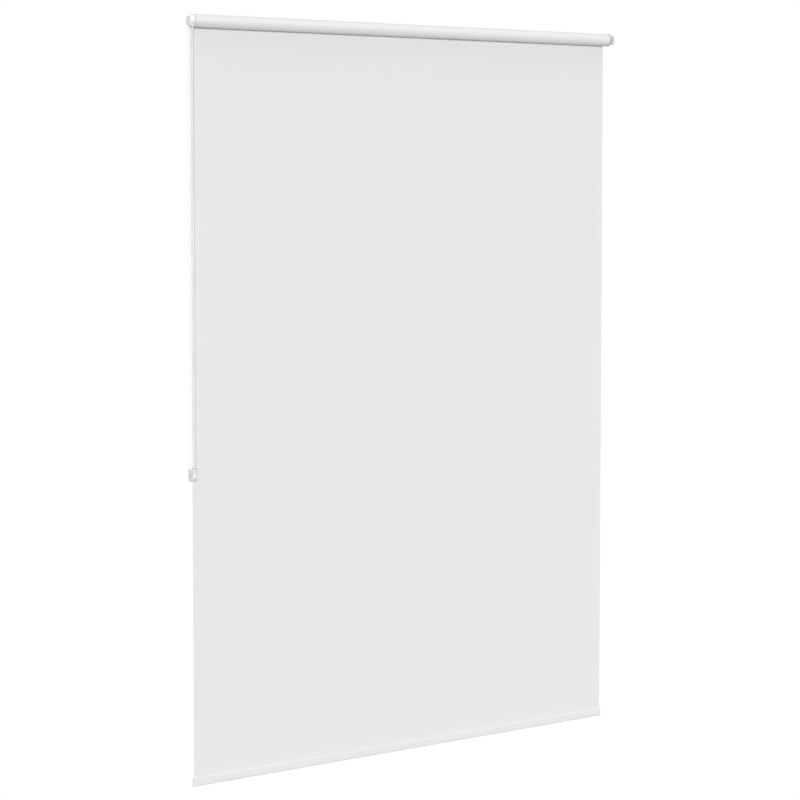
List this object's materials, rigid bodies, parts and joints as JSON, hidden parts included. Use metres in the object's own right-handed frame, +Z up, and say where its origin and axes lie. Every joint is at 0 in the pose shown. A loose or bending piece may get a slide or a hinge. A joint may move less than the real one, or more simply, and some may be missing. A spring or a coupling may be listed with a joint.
{
  "type": "roller blind",
  "caption": "Roller blind for a window reveal: fabric on a tube between side brackets, bead chain clutch with a tensioner, and a weighted hem.",
  "frame": {"origin": "on the roller's axis, midway between the outer faces of the two side brackets", "axes": "+X along the roller from the chain side, +Y from the room to the window, +Z up"},
  "size_m": [1.6, 0.0451, 2.3047],
  "materials": {
    "fabric": "matte plain weave",
    "white_plastic": "fine moulded texture",
    "chain": "smooth moulded balls",
    "pale_plastic": "fine moulded texture",
    "grey_plastic": "fine moulded texture",
    "white_paint": "satin powder coat",
    "aluminium": "mill finish, drawn along its length",
    "steel": "bright zinc"
  },
  "bodies": {
    "mount": {"left_bracket": "white_paint", "right_bracket": "white_paint", "idle_bush": "white_plastic", "chain_guard": "white_plastic", "clutch_core": "white_plastic", "retaining_clip": "steel", "bead_chain": "chain", "fabric_sheet": "fabric", "tensioner_body": "pale_plastic", "tensioner_cover": "pale_plastic", "tensioner_axle": "steel", "cover_screw": "steel"},
    "roller": {"tube": "aluminium", "crown_adapter": "white_plastic", "fabric_roll": "fabric", "idle_plug": "grey_plastic", "idle_spring": "steel"},
    "drive_wheel": {"chain_wheel": "white_plastic", "brake_spring_1": "steel", "brake_spring_2": "steel"},
    "idle_pin": {"idle_pin": "steel"},
    "hem": {"hem_pocket": "fabric", "bottom_bar": "aluminium", "bar_cap_left": "white_plastic", "bar_cap_right": "white_plastic"},
    "tensioner_pulley": {"tensioner_wheel": "white_plastic"},
    "joiner": {"chain_joiner": "chain"}
  },
  "joints": [
    {"name": "roller_spin", "type": "hinge", "parent": "mount", "child": "roller", "pos_m": [0, 0, 0], "axis": [1, 0, 0], "range_deg": [0, 5502.86]},
    {"name": "hem_lift", "type": "slide", "parent": "mount", "child": "hem", "axis": [0, 0, 1], "range_m": [0, 2.224], "deforming": ["fabric_sheet"]},
    {"name": "chain_wheel_spin", "type": "hinge", "parent": "mount", "child": "drive_wheel", "pos_m": [-0.7932, 0, 0], "axis": [1, 0, 0], "range_deg": [0, 5502.86]},
    {"name": "tensioner_wheel_spin", "type": "hinge", "parent": "mount", "child": "tensioner_pulley", "pos_m": [-0.7932, 0, -1.338], "axis": [1, 0, 0], "range_deg": [0, 5502.86]},
    {"name": "chain_joiner_travel", "type": "slide", "parent": "mount", "child": "joiner", "axis": [0, 0, 1], "range_m": [0, 1.2841]},
    {"name": "idle_pin_retract", "type": "slide", "parent": "roller", "child": "idle_pin", "axis": [-1, 0, 0], "range_m": [0, 0.01], "stiffness_N_per_m": 300, "springref_m": -0.02, "deforming": ["idle_spring"]}
  ],
  "couplings": [
    {"joint": "hem_lift", "follows": "roller_spin", "m_per_rad": 0.023156},
    {"joint": "chain_wheel_spin", "follows": "roller_spin", "ratio": 1},
    {"joint": "tensioner_wheel_spin", "follows": "roller_spin", "ratio": 1},
    {"joint": "chain_joiner_travel", "follows": "roller_spin", "m_per_rad": 0.013369}
  ]
}
